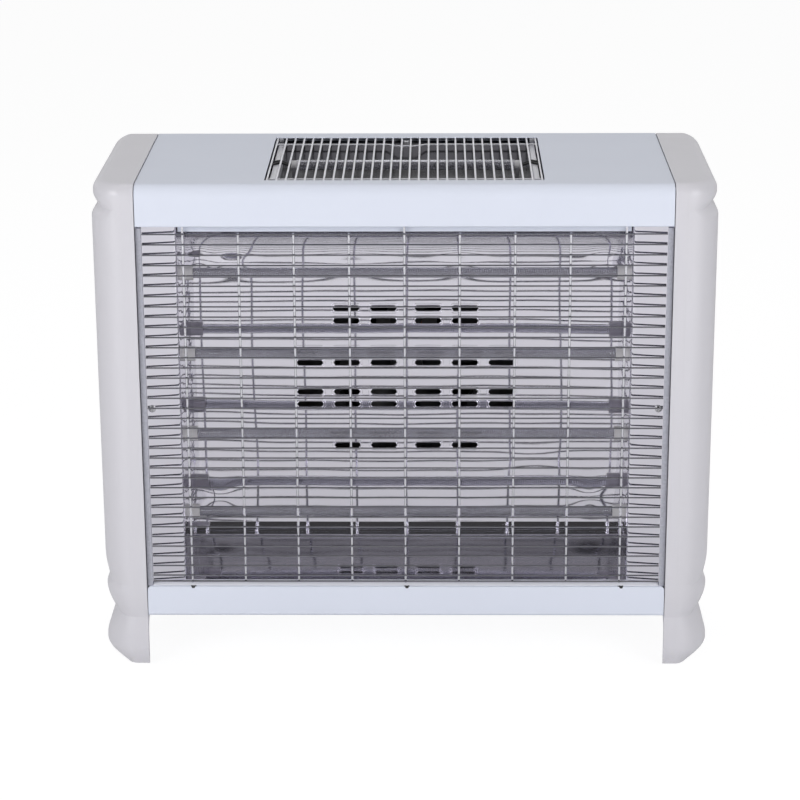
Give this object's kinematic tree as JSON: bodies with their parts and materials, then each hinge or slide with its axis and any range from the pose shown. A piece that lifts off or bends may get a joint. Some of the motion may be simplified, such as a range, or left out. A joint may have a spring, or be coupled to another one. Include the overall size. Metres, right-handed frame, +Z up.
{
  "type": "fan heater",
  "caption": "Free-standing quartz tube heater: light sheet-metal box between moulded side panels with feet, wire front guard over a reflector, wire-covered top opening, rear fan",
  "frame": {"origin": "middle of the footprint, on the ground", "axes": "+X to the right of a person who looks at the front, the front faces -Y, +Z up"},
  "size_m": [0.659, 0.27, 0.537],
  "materials": {
    "white_plastic": "satin moulding",
    "painted_steel": "light grey-blue powder paint",
    "polished_sheet": "polished, slightly wavy",
    "chromed_wire": "bright",
    "white_wire": "white enamel",
    "quartz": "clear to milky quartz",
    "heating_wire": "dull coiled wire",
    "white_ceramic": "matt steatite",
    "plated_steel": "zinc plated",
    "brass": "plain",
    "screw_steel": "bright zinc",
    "spring_steel": "plain",
    "black_lead": "silicone sleeve",
    "black_plastic": "moulded",
    "grey_plastic": "moulded",
    "rocker_plastic": "moulded",
    "foot_rubber": "matt",
    "motor_iron": "laminated",
    "copper_winding": "enamelled copper wire under tape",
    "bridge_zinc": "die cast"
  },
  "bodies": {
    "case": {"left_side_panel": "white_plastic", "right_side_panel": "white_plastic", "top_cover": "painted_steel", "bottom_panel": "painted_steel", "back_panel": "painted_steel", "left_side_frame": "painted_steel", "right_side_frame": "painted_steel", "reflector": "polished_sheet", "left_cheek": "polished_sheet", "right_cheek": "polished_sheet", "top_tray": "polished_sheet", "guard_rods": "chromed_wire", "guard_stays": "chromed_wire", "top_grille_rods": "white_wire", "top_cross_wires": "white_wire", "top_side_plates": "white_wire", "quartz_tube_1": "quartz", "quartz_tube_2": "quartz", "quartz_tube_3": "quartz", "quartz_tube_4": "quartz", "top_quartz_tube": "quartz", "heating_coils": "heating_wire", "top_heating_coil": "heating_wire", "left_tube_caps": "white_ceramic", "right_tube_caps": "white_ceramic", "top_tube_plugs": "white_ceramic", "top_connectors": "white_ceramic", "terminal_block": "white_ceramic", "left_cap_retainer": "plated_steel", "right_cap_retainer": "plated_steel", "top_tube_cradles": "plated_steel", "fan_duct": "plated_steel", "motor_bracket": "plated_steel", "rocker_pins": "plated_steel", "bus_bars": "brass", "case_screws": "screw_steel", "cross_head_screws": "screw_steel", "motor_bolts": "screw_steel", "tip_spring": "spring_steel", "top_leads": "black_lead", "inner_leads": "black_lead", "cable_gland": "black_plastic", "switch_bodies": "black_plastic", "tip_switch_body": "black_plastic", "thermal_cutout": "black_plastic", "switch_plate": "grey_plastic", "foot_pads": "foot_rubber", "motor_core": "motor_iron", "motor_winding": "copper_winding", "motor_bridges": "bridge_zinc"},
    "fan_rotor": {"fan_blade": "black_plastic", "fan_shaft": "plated_steel", "motor_rotor": "motor_iron"},
    "tip_plunger_body": {"tip_plunger": "grey_plastic"},
    "switch_rocker_1": {"rocker_1": "rocker_plastic"},
    "switch_rocker_2": {"rocker_2": "rocker_plastic"},
    "switch_rocker_3": {"rocker_3": "rocker_plastic"},
    "switch_rocker_4": {"rocker_4": "rocker_plastic"}
  },
  "joints": [
    {"name": "fan_spin", "type": "hinge", "parent": "case", "child": "fan_rotor", "pos_m": [0, 0.014, 0.2993], "axis": [0, 1, 0], "continuous": true},
    {"name": "tip_plunger_slide", "type": "slide", "parent": "case", "child": "tip_plunger_body", "axis": [0, 0, 1], "range_m": [-0.005, 0], "stiffness_N_per_m": 40, "springref_m": -0.008, "deforming": ["tip_spring"]},
    {"name": "rocker_1_hinge", "type": "hinge", "parent": "case", "child": "switch_rocker_1", "pos_m": [0.3191, 0.02, 0.3095], "axis": [0, 1, 0], "range_deg": [-20, 0]},
    {"name": "rocker_2_hinge", "type": "hinge", "parent": "case", "child": "switch_rocker_2", "pos_m": [0.3191, 0.02, 0.3365], "axis": [0, 1, 0], "range_deg": [-20, 0]},
    {"name": "rocker_3_hinge", "type": "hinge", "parent": "case", "child": "switch_rocker_3", "pos_m": [0.3191, 0.02, 0.3635], "axis": [0, 1, 0], "range_deg": [-20, 0]},
    {"name": "rocker_4_hinge", "type": "hinge", "parent": "case", "child": "switch_rocker_4", "pos_m": [0.3191, 0.02, 0.3905], "axis": [0, 1, 0], "range_deg": [-20, 0]}
  ]
}
